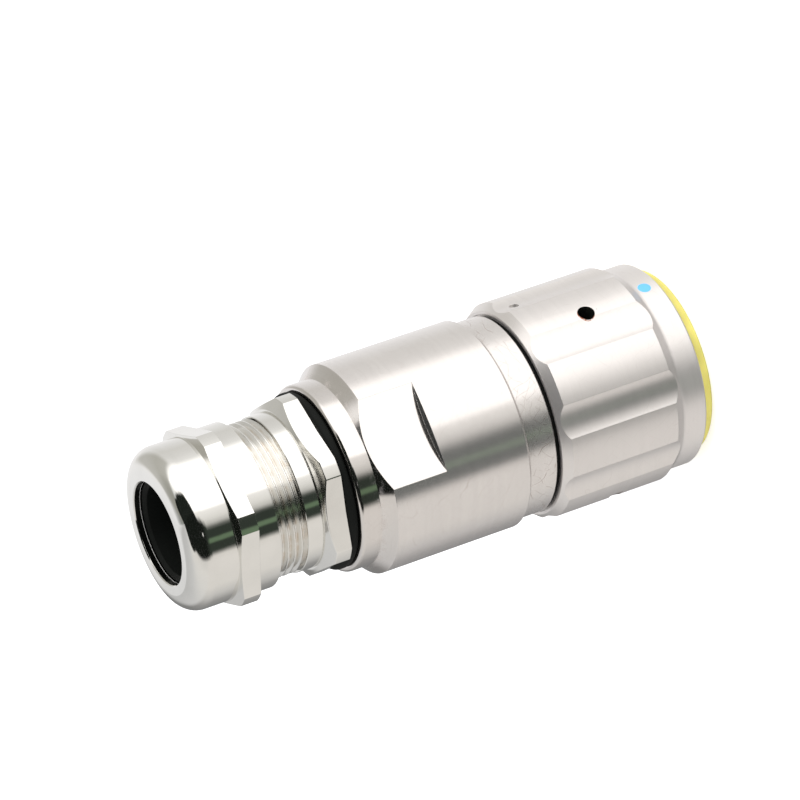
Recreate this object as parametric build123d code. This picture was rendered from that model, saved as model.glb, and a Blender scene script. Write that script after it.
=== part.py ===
from build123d import *
import math
import os

# A circular power plug for a vehicle, with a bayonet coupling ring and a cable gland.
# The plug stands on its front end: Z = 0 is the front face of the yellow lining, the cable leaves
# at the top, and the common axis of all turned pieces is Z. Lengths are in millimetres and angles
# in degrees, counted from +X towards +Y. Pieces that screw together are drawn to their outer thread
# diameter, with the thread itself left off. A wall or a step is a difference between two radii, so
# the pieces round the insert follow SHELL_BORE_R and those of the gland follow GLAND_THREAD_R.

# Clearances
FIT_GAP = 0.05         # between pieces that screw or push into each other
RUNNING_GAP = 0.08     # between pieces that turn on each other
PRESS_GAP = 0.02       # radial, round pieces that are pressed in
LOOSE_GAP = 0.3        # between pieces that move past each other
CUT_MARGIN = 1.0       # how far a cutter reaches past the wall that it cuts

# The two sizes that the others follow
SHELL_BORE_R = 14.6    # room for the insert with its contacts
GLAND_THREAD_R = 16.0

# Plug shell
SHELL_WALL = 2.4       # of the neck behind the flange
INSERT_LEDGE = 1.4     # step in the bore that the insulators seat on
INSERT_INSET = 1.1     # from the flange's front to that step
SLEEVE_FRONT = 3.0
SLEEVE_WALL = 1.8
SLEEVE_CHAMFER = 0.6
FLANGE_STEP = 2.78     # from the neck to the bore that the flange runs in
FLANGE_LENGTH = 6.9
NECK_REACH = 8.5       # of the neck into the rear housing
KEY_HEIGHT = 1.0
KEY_ROOT = 0.5         # how far a key is sunk into the sleeve
KEY_INSET = 1.0
KEY_LENGTH = 16.0
MAIN_KEY_WIDTH = 4.0
KEY_WIDTH = 2.2
MAIN_KEY_ANGLE = -45.4
KEY_OFFSETS = (95.0, 141.0, 208.0, 236.0)
INTERFACE_SEAL_WALL = 2.15
INTERFACE_SEAL_LENGTH = 1.5
SEAL_EDGE = 0.25       # chamfer of the flat seals
O_RING_CORD = 1.8
O_RING_INSET = 2.6     # of the groove's middle in the rear housing
O_RING_SQUEEZE = 0.2

# Coupling ring, outside
GRIP_WALL = 3.22       # from the flange's bore to the lands of the grip
GRIP_LENGTH = 24.45
RIM_STEP = 1.4         # steps down from the lands
TAIL_STEP = 1.35
RIM_LENGTH = 5.5
RIM_CHAMFER = 0.4
CONE_LENGTH = 2.2      # from the rim out to the lands
COVE_R = 1.5           # in the corner where the cone meets the rim
TAIL_LENGTH = 1.75
FLUTES = 9
FLUTE_DEPTH = 0.9
FLUTE_CUTTER_R = 10.3
FLUTE_ANGLE = -23.5    # of the flute that holds the stop pin
# Coupling ring, inside
SOCKET_ROOM = 2.4      # round the sleeve, for the socket's shell
TRACK_DEPTH = 1.1
TRACK_WIDTH = 4.4      # room for the socket's studs
TRACKS = 3
TRACK_RISE = 11.7      # from the bend at the entry to the locked stud
TURN = 95.0            # from open to locked
SIGHT_HOLE_R = 1.75
SIGHT_INSET = 11.0     # of the sight holes from the front of the grip
SIGHT_ANGLE = -51.5
MOUTH_STEP = 1.2
MOUTH_DEPTH = 0.3

# Yellow lining of the coupling ring
RIM_WALL = 2.0         # of the ring round the lining
LINING_WALL = 2.0
LINING_LENGTH = 7.0
LINING_PROUD = 2.5
LINING_CHAMFER = 0.2

# Stop pin, which limits the turn of the coupling ring
PIN_R = 0.95
PIN_DOG_R = 0.7        # of the end that runs in the shell's slot
PIN_INSET = 1.6        # from the flange's rear
PIN_RECESS = 0.3
PIN_REACH = 1.2        # how far it dips below the flange's rim

# Spring stack behind the flange
WASHER_LENGTH = 0.4
WASHER_WALL = 2.0
SPRING_HEIGHT = 1.1
SPRING_STRIP = 0.35
SPRING_WAVES = 3
CLIP_LENGTH = 0.9
CLIP_INSET = 0.7       # from the ring's rear end
CLIP_WALL = 2.3
CLIP_GROOVE = 0.75
CLIP_GAP_ANGLE = 38.0
CLIP_EYE_R = 0.8
CLIP_EYE_INSET = 1.3

# Collar and dust seal behind the coupling ring
COLLAR_GAP = 0.7       # between coupling ring and collar
COLLAR_STEP = 1.1      # below the rear housing
COLLAR_LENGTH = 6.4
COLLAR_CHAMFER = 0.25
DUST_SEAL_STEP = 0.5   # below the collar

# Rear housing
HOUSING_WALL = 5.0     # round the shell's neck
HOUSING_LENGTH = 30.4  # of its cylinder
HOUSING_CHAMFER = 0.6
HOUSING_SHOULDER = 2.4
HOUSING_TAIL_LENGTH = 4.45
HOUSING_TAIL_ROUND = 0.85
CAVITY_STEP = 0.6      # the cavity is wider than the neck
REAR_WALL = 8.75       # holds the gland
FLAT_DEPTH = 2.2       # of the two wrench flats
FLAT_ANGLE = -81.7
FLAT_LENGTH = 11.25    # in front of the shoulder's edge
FLAT_WALL_R = 72.0     # the flats' end walls bulge a little
FLAT_RUNOUT = 2.0

# Cable gland: body and gasket
GASKET_LENGTH = 2.0
GASKET_WIDTH = 2.5
GASKET_ROUND = 0.7
GLAND_WALL = 4.5       # between the thread's crest and the bore
GLAND_FRONT_LENGTH = 8.1
HEX_STEP = 1.5         # from the thread's crest to the hexagons' flats
HEX_BAR = 1.1          # the bar that they are milled from, as a share of their width
BODY_HEX_LENGTH = 3.35
BODY_HEX_ANGLE = -26.3
HEX_CONE_ANGLE = 30.0
HEX_CONE_STEP = 0.7
BAND_STEP = 0.3
BAND_LENGTH = 3.35
GLAND_REAR_LENGTH = 11.6
CAGE_SEAT_WALL = 1.7
CAGE_SEAT_DEPTH = 10.5
THREAD_CHAMFER = 0.8

# Cable gland: dome nut, as far open as it shows
EXPOSED_THREAD = 6.5
PITCH = 1.5
TIGHTEN_TURNS = 3.0
SKIRT_WALL = 1.3
SKIRT_LENGTH = 4.8
NUT_HEX_LENGTH = 3.7
NUT_HEX_ANGLE = -41.3
NUT_CONE_ANGLE = 12.0
DOME_WALL = 1.0        # outside the thread's crest
DOME_LENGTH = 5.4      # of the cylinder behind the dome
DOME_ROUND = 4.2
MOUTH_MARGIN = 1.2     # the mouth is wider than the seal's bore
MOUTH_LIP = 1.45
MOUTH_CHAMFER = 0.2
NUT_THREAD_LENGTH = 9.8
NUT_SEAT_STEP = 1.4    # inside the thread's crest
NUT_SEAT_ANGLE = 25.0  # of the cone that squeezes the cage, from the axis
NUT_SEAT_LENGTH = 4.5

# Cable gland: cage and seal
CAGE_GAP = 0.1
CAGE_WALL = 2.3
CAGE_TAPER = 1.3
CAGE_FINGERS = 12
CAGE_SLOT = 1.0
CAGE_LIP = 1.3
CAGE_FLOOR = 1.0
CAGE_BASE_LENGTH = 4.5
SEAL_STEP = 2.0        # the seal's bore is narrower than the body's
SEAL_CHAMFER = 0.6

# Insulators and contacts
INSULATOR_REACH = 13.5  # in front of the step that they seat on
FRONT_FLANGE_LENGTH = 3.5
REAR_INSULATOR_LENGTH = 10.0
RETAINER_LENGTH = 3.5
RETAINER_WALL = 2.6
RETAINER_SLOT = 2.0
RETAINER_SLOT_DEPTH = 1.2
HOLE_COLLAR = 0.6      # height and wall of the raised collars on the insulator's face
CONTACT_SHOULDER = 1.6
CONTACT_PROUD = 1.5    # behind the retainer
SHANK_PROUD = 0.2      # in front of the collars
POWER_INSET = 5.6      # of the contacts' circle from the sleeve's bore
POWER_PIN_R = 2.25
POWER_SHANK_R = 2.6
POWER_REACH = 8.6
EARTH_REACH = 9.3
POWER_SHOULDER_R = 3.1
POWER_BARREL_R = 2.95
POWER_WIRE_R = 2.3
POWER_BARREL_LENGTH = 8.0
SIGNAL_INSET = 2.8
SIGNAL_PIN_R = 0.8
SIGNAL_SHANK_R = 1.05
SIGNAL_REACH = 7.4
SIGNAL_SHOULDER_R = 1.5
SIGNAL_BARREL_R = 1.3
SIGNAL_WIRE_R = 0.85
SIGNAL_BARREL_LENGTH = 6.5

# Radii that several pieces share
neck_r = SHELL_BORE_R + SHELL_WALL
sleeve_bore_r = SHELL_BORE_R - INSERT_LEDGE
sleeve_r = sleeve_bore_r + SLEEVE_WALL
ring_bore_r = sleeve_r + SOCKET_ROOM
track_root_r = ring_bore_r + TRACK_DEPTH
chamber_r = neck_r + FLANGE_STEP
flange_r = chamber_r - RUNNING_GAP
grip_r = chamber_r + GRIP_WALL
flute_floor_r = grip_r - FLUTE_DEPTH
rim_r = grip_r - RIM_STEP
lining_r = rim_r - RIM_WALL
housing_r = neck_r + HOUSING_WALL
housing_tail_r = housing_r - HOUSING_SHOULDER
collar_r = housing_r - COLLAR_STEP
hex_across = 2 * (GLAND_THREAD_R + HEX_STEP)
hex_corner_r = HEX_BAR * hex_across / 2
gland_bore_r = GLAND_THREAD_R - GLAND_WALL
cage_seat_r = GLAND_THREAD_R - CAGE_SEAT_WALL
nut_seat_r = GLAND_THREAD_R - NUT_SEAT_STEP
dome_r = GLAND_THREAD_R + DOME_WALL
cage_r = cage_seat_r - CAGE_GAP
cage_bore_r = cage_r - CAGE_WALL
cage_tip_r = cage_r - CAGE_TAPER
seal_bore_r = gland_bore_r - SEAL_STEP
cable_mouth_r = seal_bore_r + MOUTH_MARGIN

# Heights that several pieces share
ring_front = LINING_PROUD
rim_rear = ring_front + RIM_LENGTH
grip_front = rim_rear + CONE_LENGTH
grip_rear = grip_front + GRIP_LENGTH
ring_rear = grip_rear + TAIL_LENGTH
track_end = grip_front + SIGHT_INSET
track_start = track_end - TRACK_RISE
clip_rear = ring_rear - CLIP_INSET
clip_front = clip_rear - CLIP_LENGTH
spring_front = clip_front - SPRING_HEIGHT
flange_rear = spring_front - WASHER_LENGTH
flange_front = flange_rear - FLANGE_LENGTH
pin_height = flange_rear - PIN_INSET
collar_front = ring_rear + COLLAR_GAP
housing_front = collar_front + COLLAR_LENGTH
o_ring_height = housing_front + O_RING_INSET
shell_rear = housing_front + NECK_REACH
shoulder_front = housing_front + HOUSING_LENGTH
tail_front = shoulder_front + HOUSING_SHOULDER
housing_rear = tail_front + HOUSING_TAIL_LENGTH
hex_front = housing_rear + GASKET_LENGTH
hex_cone_r = GLAND_THREAD_R + HEX_CONE_STEP
hex_cone_length = (hex_corner_r - hex_cone_r) * math.tan(math.radians(HEX_CONE_ANGLE))
hex_rear = hex_front + BODY_HEX_LENGTH + hex_cone_length
thread_front = hex_rear + BAND_LENGTH
thread_rear = thread_front + GLAND_REAR_LENGTH
cage_floor = thread_rear - CAGE_SEAT_DEPTH
nut_front = thread_front + EXPOSED_THREAD
nut_hex_front = nut_front + SKIRT_LENGTH
nut_hex_rear = nut_hex_front + NUT_HEX_LENGTH
dome_front = nut_hex_rear + (hex_corner_r - dome_r) * math.tan(math.radians(NUT_CONE_ANGLE))
dome_rear = dome_front + DOME_LENGTH + DOME_ROUND
seat_slope = math.tan(math.radians(NUT_SEAT_ANGLE))
seat_front = nut_front + NUT_THREAD_LENGTH
seat_rear = seat_front + NUT_SEAT_LENGTH
seat_end_r = nut_seat_r - NUT_SEAT_LENGTH * seat_slope
cage_front = cage_floor + TIGHTEN_TURNS * PITCH + LOOSE_GAP
cage_tip = seat_front + (nut_seat_r - LOOSE_GAP - cage_tip_r) / seat_slope
insert_step = flange_front + INSERT_INSET
insulator_front = insert_step - INSULATOR_REACH
insulator_split = insert_step + FRONT_FLANGE_LENGTH
retainer_front = insulator_split + REAR_INSULATOR_LENGTH
retainer_rear = retainer_front + RETAINER_LENGTH


def turned(*outline):
    """A solid turned about Z from a closed outline of (radius, height) points."""
    return revolve(Plane.XZ * make_face(Polyline(*outline, close=True)), Axis.Z)


def tube(inner, outer, low, high):
    """A plain ring between two radii and two heights."""
    return turned((inner, low), (outer, low), (outer, high), (inner, high))


def chamfered_tube(inner, outer, low, high, chamfer):
    """A ring with both of its outer edges chamfered."""
    return turned(
        (inner, low),
        (outer - chamfer, low),
        (outer, low + chamfer),
        (outer, high - chamfer),
        (outer - chamfer, high),
        (inner, high),
    )


def upright(radius, low, high):
    """A round bar along +Z between two heights."""
    return Pos(0, 0, (low + high) / 2) * Cylinder(radius, high - low)


def radial(angle, height, shape):
    """Lay a shape built along +Z out along the radius at an angle and a height."""
    return Rot(0, 0, angle) * Pos(0, 0, height) * Rot(0, 90, 0) * shape


def hexagon_prism(angle, low, high):
    """A hexagonal bar with a corner at the given angle."""
    outline = RegularPolygon(hex_across / 2, 6, major_radius=False, rotation=angle)
    return Pos(0, 0, low) * extrude(outline, high - low)


def bayonet_track():
    """The room that one stud of the socket sweeps: an axial entry, a helical ramp and its end."""
    cut_r = ring_bore_r - CUT_MARGIN
    depth = track_root_r - cut_r
    middle_r = cut_r + depth / 2
    ramp = Pos(0, 0, track_start) * Helix(TRACK_RISE * 360 / TURN, TRACK_RISE, middle_r)
    section = Plane(ramp @ 0, x_dir=(1, 0, 0), z_dir=ramp % 0) * Rectangle(depth, TRACK_WIDTH)
    entry_length = track_start - ring_front
    entry = Pos(middle_r, 0, ring_front + entry_length / 2) * Box(depth, TRACK_WIDTH, entry_length)
    round_end = Pos(0, 0, middle_r) * Cylinder(TRACK_WIDTH / 2, depth)
    bend = radial(0, track_start, round_end)
    pocket = radial(TURN, track_end, round_end)
    return entry + bend + sweep(section, ramp, is_frenet=True) + pocket


def coupling_ring():
    seat_r = lining_r + PRESS_GAP
    clip_r = chamber_r + CLIP_GROOVE
    mouth_r = chamber_r + MOUTH_STEP
    chamber_front = flange_front - RUNNING_GAP
    outline = Polyline(
        (seat_r, ring_front),
        (rim_r - RIM_CHAMFER, ring_front),
        (rim_r, ring_front + RIM_CHAMFER),
        (rim_r, rim_rear),
        (grip_r, grip_front),
        (grip_r, grip_rear),
        (grip_r - TAIL_STEP, ring_rear),
        (mouth_r, ring_rear),
        (mouth_r, ring_rear - MOUTH_DEPTH),
        (chamber_r, ring_rear - MOUTH_DEPTH),
        (chamber_r, clip_rear),
        (clip_r, clip_rear),
        (clip_r, clip_front),
        (chamber_r, clip_front),
        (chamber_r, chamber_front),
        (ring_bore_r, chamber_front),
        (ring_bore_r, LINING_LENGTH),
        (seat_r, LINING_LENGTH),
        close=True,
    )
    section = Plane.XZ * make_face(outline)
    corner = section.vertices().sort_by_distance((rim_r, 0, rim_rear))[0]
    ring = revolve(fillet(corner, COVE_R), Axis.Z)
    cutter_length = ring_rear - rim_rear
    cutter = Pos(flute_floor_r + FLUTE_CUTTER_R, 0, rim_rear + cutter_length / 2)
    for index in range(FLUTES):
        flute = cutter * Cylinder(FLUTE_CUTTER_R, cutter_length)
        ring -= Rot(0, 0, FLUTE_ANGLE + index * 360 / FLUTES) * flute
    track = bayonet_track()
    sight_hole = upright(SIGHT_HOLE_R, ring_bore_r, grip_r + CUT_MARGIN)
    for index in range(TRACKS):
        turn = index * 360 / TRACKS
        ring -= Rot(0, 0, SIGHT_ANGLE - TURN + turn) * track
        ring -= radial(SIGHT_ANGLE + turn, track_end, sight_hole)
    pin_hole = upright(PIN_R + PRESS_GAP, chamber_r - CUT_MARGIN, grip_r + CUT_MARGIN)
    ring -= radial(FLUTE_ANGLE, pin_height, pin_hole)
    return ring


def entry_ring():
    """The yellow lining, notched where the socket's studs come in."""
    inner = lining_r - LINING_WALL
    ring = turned(
        (inner + LINING_CHAMFER, 0),
        (lining_r - LINING_CHAMFER, 0),
        (lining_r, LINING_CHAMFER),
        (lining_r, LINING_LENGTH),
        (inner, LINING_LENGTH),
        (inner, LINING_CHAMFER),
    )
    depth = track_root_r - inner + CUT_MARGIN
    notch = Box(depth, TRACK_WIDTH, LINING_LENGTH)
    notch = Pos(track_root_r - depth / 2, 0, LINING_LENGTH / 2) * notch
    for index in range(TRACKS):
        ring -= Rot(0, 0, SIGHT_ANGLE - TURN + index * 360 / TRACKS) * notch
    return ring


def stop_pin():
    """A pressed pin whose thinner end runs in the slot of the shell's flange."""
    dog = upright(PIN_DOG_R, flange_r - PIN_REACH, chamber_r)
    pin = upright(PIN_R, chamber_r, flute_floor_r - PIN_RECESS)
    return radial(FLUTE_ANGLE, pin_height, dog + pin)


def key(width):
    """A guide key on the sleeve, with its front end chamfered."""
    root_r = sleeve_r - KEY_ROOT
    top_r = sleeve_r + KEY_HEIGHT
    front = SLEEVE_FRONT + KEY_INSET
    outline = Polyline(
        (root_r, front),
        (sleeve_r, front),
        (top_r, front + KEY_HEIGHT),
        (top_r, front + KEY_LENGTH),
        (root_r, front + KEY_LENGTH),
        close=True,
    )
    return Plane.XZ * extrude(make_face(outline), width / 2, both=True)


def plug_shell():
    groove_r = neck_r + FIT_GAP - O_RING_CORD + O_RING_SQUEEZE
    groove_half = O_RING_CORD / 2 + O_RING_SQUEEZE
    shell = turned(
        (sleeve_bore_r, SLEEVE_FRONT),
        (sleeve_r - SLEEVE_CHAMFER, SLEEVE_FRONT),
        (sleeve_r, SLEEVE_FRONT + SLEEVE_CHAMFER),
        (sleeve_r, flange_front),
        (flange_r, flange_front),
        (flange_r, flange_rear),
        (neck_r, flange_rear),
        (neck_r, o_ring_height - groove_half),
        (groove_r, o_ring_height - groove_half),
        (groove_r, o_ring_height + groove_half),
        (neck_r, o_ring_height + groove_half),
        (neck_r, shell_rear - THREAD_CHAMFER),
        (neck_r - THREAD_CHAMFER, shell_rear),
        (SHELL_BORE_R, shell_rear),
        (SHELL_BORE_R, insert_step),
        (sleeve_bore_r, insert_step),
    )
    shell += Rot(0, 0, MAIN_KEY_ANGLE) * key(MAIN_KEY_WIDTH)
    for offset in KEY_OFFSETS:
        shell += Rot(0, 0, MAIN_KEY_ANGLE + offset) * key(KEY_WIDTH)
    return shell - stop_slot()


def stop_slot():
    """The slot in the flange's rim that the stop pin runs along, as long as the ring's turn."""
    floor_r = flange_r - PIN_REACH - LOOSE_GAP / 2
    half_width = PIN_DOG_R + LOOSE_GAP / 2
    margin = math.degrees(half_width / floor_r)
    depth = flange_r - floor_r + CUT_MARGIN
    section = Pos(floor_r + depth / 2, pin_height) * Rectangle(depth, 2 * half_width)
    sweep_angle = TURN + 2 * margin
    return Rot(0, 0, FLUTE_ANGLE - TURN - margin) * revolve(Plane.XZ * section, Axis.Z, sweep_angle)


def interface_seal():
    inner = sleeve_r + FIT_GAP
    outer = inner + INTERFACE_SEAL_WALL
    low = flange_front - INTERFACE_SEAL_LENGTH
    return chamfered_tube(inner, outer, low, flange_front, SEAL_EDGE)


def housing_o_ring():
    """The sealing ring in the shell's groove, squeezed to fit the housing's bore."""
    outer = neck_r + FIT_GAP
    section = Pos(outer - O_RING_CORD / 2 + O_RING_SQUEEZE / 2, o_ring_height)
    section = section * Ellipse((O_RING_CORD - O_RING_SQUEEZE) / 2, O_RING_CORD / 2)
    return revolve(Plane.XZ * section, Axis.Z)


def thrust_washer():
    outer = chamber_r - LOOSE_GAP
    return tube(outer - WASHER_WALL, outer, flange_rear, spring_front)


def wave_spring():
    """A flat strip that rises and falls three times round the shell."""
    outer = chamber_r - LOOSE_GAP
    inner = outer - WASHER_WALL
    middle = (spring_front + clip_front) / 2
    swing = (SPRING_HEIGHT - SPRING_STRIP) / 2 - FIT_GAP
    steps = SPRING_WAVES * 8

    def edge(radius, lift):
        points = []
        for index in range(steps):
            angle = 2 * math.pi * index / steps
            height = middle + swing * math.cos(SPRING_WAVES * angle) + lift
            points.append((radius * math.cos(angle), radius * math.sin(angle), height))
        return Spline(*points, periodic=True)

    half = SPRING_STRIP / 2
    low_inner, low_outer = edge(inner, -half), edge(outer, -half)
    high_inner, high_outer = edge(inner, half), edge(outer, half)
    faces = [
        Face.make_surface_from_curves(low_inner, low_outer),
        Face.make_surface_from_curves(low_outer, high_outer),
        Face.make_surface_from_curves(high_outer, high_inner),
        Face.make_surface_from_curves(high_inner, low_inner),
    ]
    spring = Solid(Shell(faces))
    return spring if spring.volume > 0 else -spring


def retaining_clip():
    """The open ring that holds the coupling ring on the shell, with two eyes for the pliers."""
    outer = chamber_r + CLIP_GROOVE - FIT_GAP
    inner = outer - CLIP_WALL
    middle = (clip_front + clip_rear) / 2
    gap_width = 2 * outer * math.sin(math.radians(CLIP_GAP_ANGLE / 2))
    clip = tube(inner, outer, clip_front, clip_rear)
    clip -= Pos(outer, 0, middle) * Box(4 * CLIP_WALL, gap_width, 2 * CLIP_LENGTH)
    eye_angle = CLIP_GAP_ANGLE / 2 + math.degrees(CLIP_EYE_INSET / inner)
    eye = Pos(inner + CLIP_WALL / 2, 0, middle) * Cylinder(CLIP_EYE_R, 2 * CLIP_LENGTH)
    for side in (-1, 1):
        clip -= Rot(0, 0, side * eye_angle) * eye
    return clip


def dust_seal():
    low = ring_rear - MOUTH_DEPTH + RUNNING_GAP
    outer = collar_r - DUST_SEAL_STEP
    return chamfered_tube(neck_r + FIT_GAP, outer, low, collar_front, SEAL_EDGE)


def shell_collar():
    inner = neck_r + FIT_GAP
    return chamfered_tube(inner, collar_r, collar_front, housing_front, COLLAR_CHAMFER)


def rear_housing():
    bore_r = neck_r + FIT_GAP
    gland_r = GLAND_THREAD_R + FIT_GAP
    cavity_r = neck_r + CAVITY_STEP
    cavity_rear = housing_rear - REAR_WALL
    round_r = HOUSING_TAIL_ROUND
    with BuildPart() as part:
        with BuildSketch(Plane.XZ):
            with BuildLine():
                Polyline(
                    (housing_tail_r - round_r, housing_rear),
                    (gland_r, housing_rear),
                    (gland_r, cavity_rear),
                    (cavity_r, cavity_rear),
                    (cavity_r, shell_rear + LOOSE_GAP),
                    (bore_r, shell_rear + LOOSE_GAP),
                    (bore_r, housing_front),
                    (housing_r - HOUSING_CHAMFER, housing_front),
                    (housing_r, housing_front + HOUSING_CHAMFER),
                    (housing_r, shoulder_front),
                    (housing_tail_r, tail_front),
                    (housing_tail_r, housing_rear - round_r),
                )
                corner = (housing_tail_r - round_r, housing_rear - round_r)
                CenterArc(corner, round_r, 0, 90)
            make_face()
        revolve(axis=Axis.Z)
    housing = part.part
    depth = FLAT_DEPTH + CUT_MARGIN
    mill = Box(2 * (FLAT_LENGTH + FLAT_RUNOUT), 2 * housing_r, depth)
    mill -= Pos(FLAT_LENGTH + FLAT_WALL_R, 0, 0) * Cylinder(FLAT_WALL_R, depth)
    mill = Pos(0, 0, housing_r - FLAT_DEPTH + depth / 2) * mill
    for turn in (0, 180):
        housing -= radial(FLAT_ANGLE + turn, shoulder_front, mill)
    return housing


def gland_gasket():
    inner = GLAND_THREAD_R + FIT_GAP
    ring = tube(inner, GLAND_THREAD_R + GASKET_WIDTH, housing_rear, hex_front)
    rims = ring.edges().filter_by(GeomType.CIRCLE).sort_by(SortBy.RADIUS)[-2:]
    return fillet(rims, GASKET_ROUND)


def gland_body():
    cone_front = hex_front + BODY_HEX_LENGTH
    front = housing_rear - GLAND_FRONT_LENGTH
    band_r = GLAND_THREAD_R + BAND_STEP
    hexagon = turned(
        (gland_bore_r, hex_front),
        (hex_corner_r, hex_front),
        (hex_corner_r, cone_front),
        (hex_cone_r, hex_rear),
        (gland_bore_r, hex_rear),
    )
    hexagon &= hexagon_prism(BODY_HEX_ANGLE, hex_front, hex_rear)
    barrel = turned(
        (gland_bore_r, front),
        (GLAND_THREAD_R - THREAD_CHAMFER, front),
        (GLAND_THREAD_R, front + THREAD_CHAMFER),
        (GLAND_THREAD_R, hex_front),
        (band_r, hex_front),
        (band_r, thread_front),
        (GLAND_THREAD_R, thread_front),
        (GLAND_THREAD_R, thread_rear - THREAD_CHAMFER),
        (GLAND_THREAD_R - THREAD_CHAMFER, thread_rear),
        (cage_seat_r, thread_rear),
        (cage_seat_r, cage_floor),
        (gland_bore_r, cage_floor),
    )
    return hexagon + barrel


def clamp_cage():
    """The slotted plastic cage. The nut's cone presses its fingers in on the seal."""
    taper_front = seat_front + (nut_seat_r - LOOSE_GAP - cage_r) / seat_slope
    cage = turned(
        (cage_bore_r - CAGE_LIP, cage_front),
        (cage_r, cage_front),
        (cage_r, taper_front),
        (cage_tip_r, cage_tip),
        (cage_bore_r, cage_tip),
        (cage_bore_r, cage_front + CAGE_FLOOR),
        (cage_bore_r - CAGE_LIP, cage_front + CAGE_FLOOR),
    )
    slot_front = cage_front + CAGE_BASE_LENGTH
    slot = Box(2 * CAGE_WALL, CAGE_SLOT, cage_tip - slot_front)
    slot = Pos(cage_bore_r + CAGE_WALL / 2, 0, (cage_tip + slot_front) / 2) * slot
    for index in range(CAGE_FINGERS):
        cage -= Rot(0, 0, index * 360 / CAGE_FINGERS) * slot
    return cage


def gland_seal():
    """The rubber sleeve in the cage. Its head covers the fingers and fills the nut's dome."""
    low = cage_front + CAGE_FLOOR
    high = dome_rear - MOUTH_LIP - LOOSE_GAP
    sleeve_outer_r = cage_bore_r - FIT_GAP
    return turned(
        (seal_bore_r, low + SEAL_CHAMFER),
        (seal_bore_r + SEAL_CHAMFER, low),
        (sleeve_outer_r, low),
        (sleeve_outer_r, cage_tip + FIT_GAP),
        (cage_tip_r, cage_tip + FIT_GAP),
        (seat_end_r - LOOSE_GAP, seat_rear),
        (cable_mouth_r - LOOSE_GAP / 2, high),
        (seal_bore_r + SEAL_CHAMFER, high),
        (seal_bore_r, high - SEAL_CHAMFER),
    )


def dome_nut():
    thread_r = GLAND_THREAD_R + RUNNING_GAP
    skirt_r = GLAND_THREAD_R + SKIRT_WALL
    dome_start = dome_rear - DOME_ROUND
    with BuildPart() as part:
        with BuildSketch(Plane.XZ):
            with BuildLine():
                Polyline(
                    (dome_r - DOME_ROUND, dome_rear),
                    (cable_mouth_r + MOUTH_CHAMFER, dome_rear),
                    (cable_mouth_r, dome_rear - MOUTH_CHAMFER),
                    (cable_mouth_r, dome_rear - MOUTH_LIP),
                    (seat_end_r, seat_rear),
                    (nut_seat_r, seat_front),
                    (thread_r, seat_front),
                    (thread_r, nut_front),
                    (skirt_r, nut_front),
                    (skirt_r, nut_hex_front),
                    (dome_r, nut_hex_front),
                    (dome_r, dome_start),
                )
                CenterArc((dome_r - DOME_ROUND, dome_start), DOME_ROUND, 0, 90)
            make_face()
        revolve(axis=Axis.Z)
    hexagon = turned(
        (thread_r, nut_hex_front),
        (hex_corner_r, nut_hex_front),
        (hex_corner_r, nut_hex_rear),
        (dome_r, dome_front),
        (thread_r, dome_front),
    )
    prism = hexagon_prism(NUT_HEX_ANGLE, nut_hex_front, dome_front)
    return part.part + (hexagon & prism)


def power_places():
    """The three power contacts and the earth contact, as (name, tip height, x, y)."""
    names = (
        ("power_contact_1", POWER_REACH, 45),
        ("power_contact_2", POWER_REACH, 135),
        ("power_contact_3", POWER_REACH, 225),
        ("earth_contact", EARTH_REACH, 315),
    )
    circle_r = sleeve_bore_r - POWER_INSET
    places = []
    for name, reach, angle in names:
        turn = math.radians(angle + MAIN_KEY_ANGLE)
        x, y = circle_r * math.cos(turn), circle_r * math.sin(turn)
        places.append((name, insulator_front - reach, x, y))
    return places


def signal_places():
    circle_r = sleeve_bore_r - SIGNAL_INSET
    places = []
    for index in range(4):
        turn = math.radians(90 * index + MAIN_KEY_ANGLE)
        x, y = circle_r * math.cos(turn), circle_r * math.sin(turn)
        places.append((f"signal_contact_{index + 1}", insulator_front - SIGNAL_REACH, x, y))
    return places


def contact(pin_r, shank_r, tip, shoulder_r, barrel_r, wire_r, barrel_length):
    """A turned pin with a domed tip, a shank, a shoulder and a crimp barrel with a sight hole."""
    shank_front = insulator_front - HOLE_COLLAR - SHANK_PROUD
    shoulder = insulator_split - CONTACT_SHOULDER
    barrel_rear = retainer_rear + CONTACT_PROUD
    wire_floor = barrel_rear - barrel_length
    with BuildPart() as part:
        with BuildSketch(Plane.XZ):
            with BuildLine():
                Polyline(
                    (pin_r, tip + pin_r),
                    (pin_r, shank_front),
                    (shank_r, shank_front),
                    (shank_r, shoulder),
                    (shoulder_r, shoulder),
                    (shoulder_r, insulator_split),
                    (barrel_r, insulator_split),
                    (barrel_r, barrel_rear),
                    (wire_r, barrel_rear),
                    (wire_r, wire_floor),
                    (0, wire_floor),
                    (0, tip),
                )
                CenterArc((0, tip + pin_r), pin_r, 270, 90)
            make_face()
        revolve(axis=Axis.Z)
    sight_r = wire_r / 3
    sight = upright(sight_r, 0, 2 * barrel_r)
    return part.part - radial(0, wire_floor + 2 * sight_r, sight)


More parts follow.
